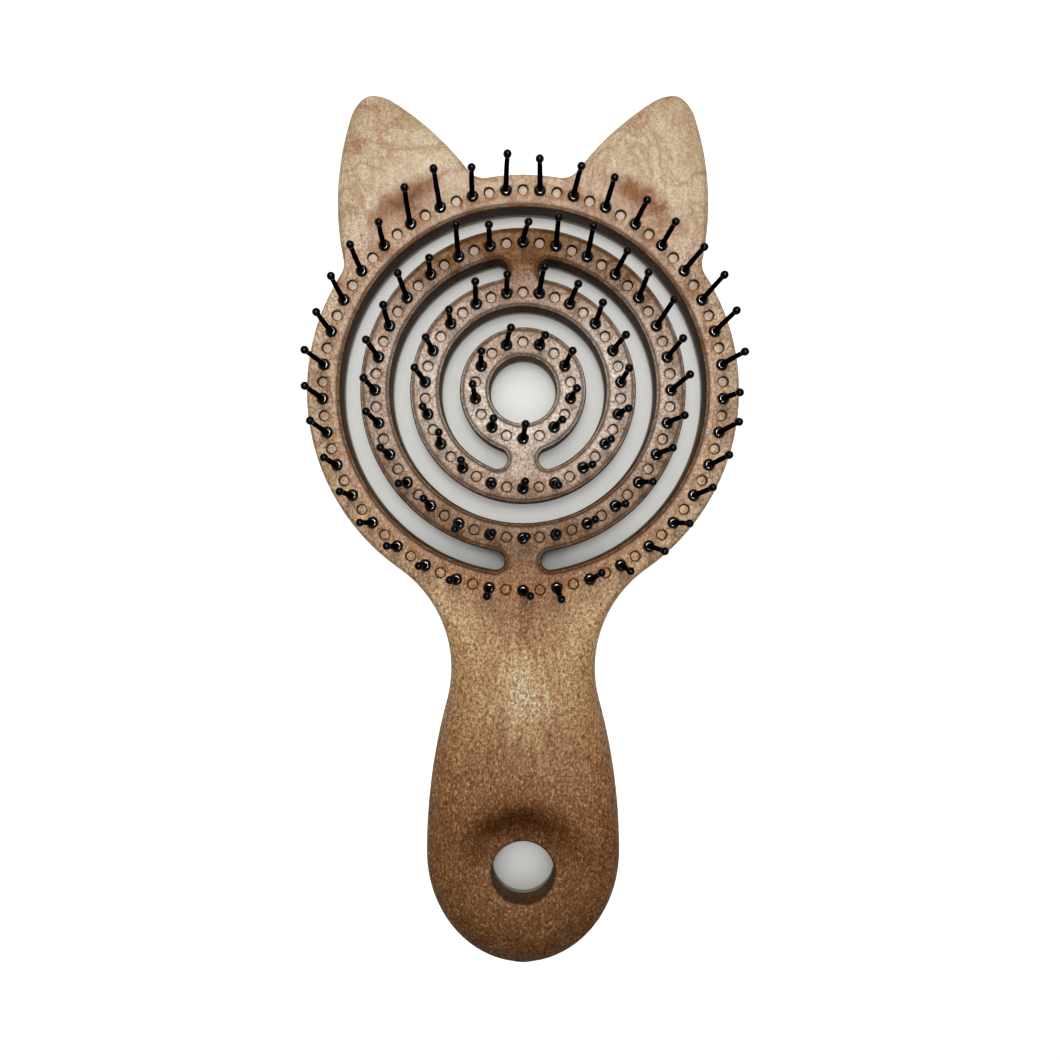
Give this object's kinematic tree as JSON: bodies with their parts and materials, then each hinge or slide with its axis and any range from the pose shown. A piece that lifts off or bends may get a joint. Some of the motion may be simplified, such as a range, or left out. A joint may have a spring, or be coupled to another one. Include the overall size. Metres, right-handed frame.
{
  "type": "bristle brush",
  "caption": "Hollow detangling brush with cat ears: a rim with handle and hanging hole carries nested floating rings on flexing necks, all set with ball-tip pins.",
  "frame": {"origin": "middle of the bounding box in X and Y, on the flat back", "axes": "+Z from the back toward the pin tips, +Y from the handle toward the ears, +X to the right seen from the pin side"},
  "size_m": [0.0888, 0.1774, 0.0244],
  "materials": {
    "front_composite": "satin fibre-filled plastic",
    "ring_composite": "satin fibre-filled plastic",
    "back_composite": "satin fibre-filled plastic",
    "black_nylon": "glossy nylon"
  },
  "bodies": {
    "frame": {"front_frame": "front_composite", "rear_cover": "back_composite", "handle_front": "front_composite", "handle_rear": "back_composite", "rim_pegs": "back_composite", "rim_pins": "black_nylon", "lower_neck_front": "front_composite", "lower_neck_rear": "back_composite"},
    "second_ring": {"second_ring": "ring_composite", "second_ring_cover": "back_composite", "second_ring_pegs": "back_composite", "second_ring_pins": "black_nylon", "upper_neck_front": "ring_composite", "upper_neck_rear": "back_composite"},
    "third_ring": {"third_ring": "ring_composite", "third_ring_cover": "back_composite", "third_ring_pegs": "back_composite", "third_ring_pins": "black_nylon", "inner_neck_front": "ring_composite", "inner_neck_rear": "back_composite"},
    "inner_ring": {"inner_ring": "ring_composite", "inner_ring_cover": "back_composite", "inner_ring_pegs": "back_composite", "inner_ring_pins": "black_nylon"}
  },
  "joints": [
    {"name": "second_ring_flex", "type": "hinge", "parent": "frame", "child": "second_ring", "pos_m": [0, -0.00616, 0.0035], "axis": [1, 0, 0], "range_deg": [-6, 6], "stiffness_Nm_per_rad": 3.5, "deforming": ["lower_neck_front", "lower_neck_rear"]},
    {"name": "third_ring_flex", "type": "hinge", "parent": "second_ring", "child": "third_ring", "pos_m": [0, 0.05329, 0.0035], "axis": [1, 0, 0], "range_deg": [-5, 5], "stiffness_Nm_per_rad": 1, "deforming": ["upper_neck_front", "upper_neck_rear"]},
    {"name": "inner_ring_flex", "type": "hinge", "parent": "third_ring", "child": "inner_ring", "pos_m": [0, 0.01436, 0.0035], "axis": [1, 0, 0], "range_deg": [-5, 5], "stiffness_Nm_per_rad": 0.12, "deforming": ["inner_neck_front", "inner_neck_rear"]}
  ]
}
